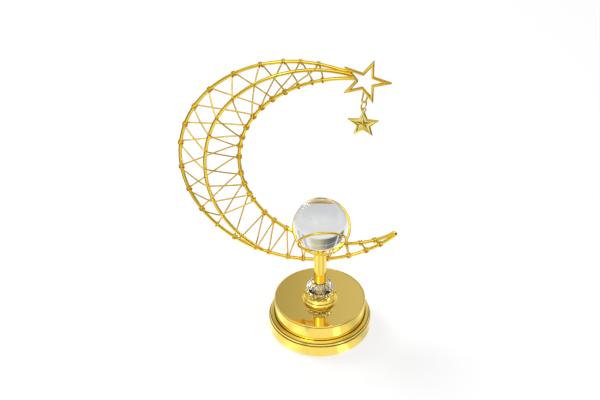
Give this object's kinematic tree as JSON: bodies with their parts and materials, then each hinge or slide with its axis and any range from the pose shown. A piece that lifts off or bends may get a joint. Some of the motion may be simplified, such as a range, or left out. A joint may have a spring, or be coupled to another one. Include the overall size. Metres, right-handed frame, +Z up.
{
  "type": "eid crescent ornament",
  "caption": "Gold crescent of bent rods laced with wire, carrying an open star with a hanging star charm, on a post with a glass ball in a ring cradle and a round weighted base.",
  "frame": {"origin": "centre of the felt pad's underside, on which the ornament stands", "axes": "+Z up along the post, +X towards the crescent's lower tip, -Y towards the viewer of its front"},
  "size_m": [0.2041, 0.098, 0.3022],
  "materials": {
    "gold_plate": "polished gold plating",
    "gold_wire": "polished gold plating",
    "mirror_plate": "mirror polish",
    "crystal": "polished clear",
    "weight_iron": "as cast",
    "fastener_steel": "zinc plated",
    "felt": "felt"
  },
  "bodies": {
    "stand": {"base_shell": "gold_plate", "top_disc": "mirror_plate", "ballast_weight": "weight_iron", "felt_pad": "felt", "tie_rod": "fastener_steel", "base_washer": "fastener_steel", "base_nut": "fastener_steel", "base_collar": "gold_plate", "crystal_bead": "crystal", "post_tube": "gold_plate", "post_cap": "gold_plate", "cradle_ring_front": "gold_plate", "cradle_ring_back": "gold_plate", "outer_rail": "gold_plate", "inner_rail": "gold_plate", "front_rail": "gold_plate", "lacing_wire_first": "gold_wire", "lacing_wire_second": "gold_wire", "lacing_wire_third": "gold_wire", "lacing_wire_tip": "gold_wire", "star_frame": "gold_plate", "hanging_eye": "gold_plate", "post_solder": "gold_plate", "tip_solder": "gold_plate", "front_rail_solder": "gold_plate", "cradle_solder": "gold_plate"},
    "crystal_ball": {"crystal_ball": "crystal"},
    "jump_ring": {"jump_ring": "gold_plate"},
    "pendant_star": {"pendant_star": "gold_plate"}
  },
  "joints": [
    {"name": "ball_turn", "type": "hinge", "parent": "stand", "child": "crystal_ball", "pos_m": [0, 0, 0.1222], "axis": [0, 0, 1], "continuous": true},
    {"name": "ring_swing", "type": "hinge", "parent": "stand", "child": "jump_ring", "pos_m": [0.03642, 0.0073, 0.25739], "axis": [1, 0, 0], "range_deg": [-30, 30]},
    {"name": "pendant_swing", "type": "hinge", "parent": "jump_ring", "child": "pendant_star", "pos_m": [0.03642, 0.0073, 0.25055], "axis": [0.5, 0.866, 0], "range_deg": [-25, 25]}
  ]
}
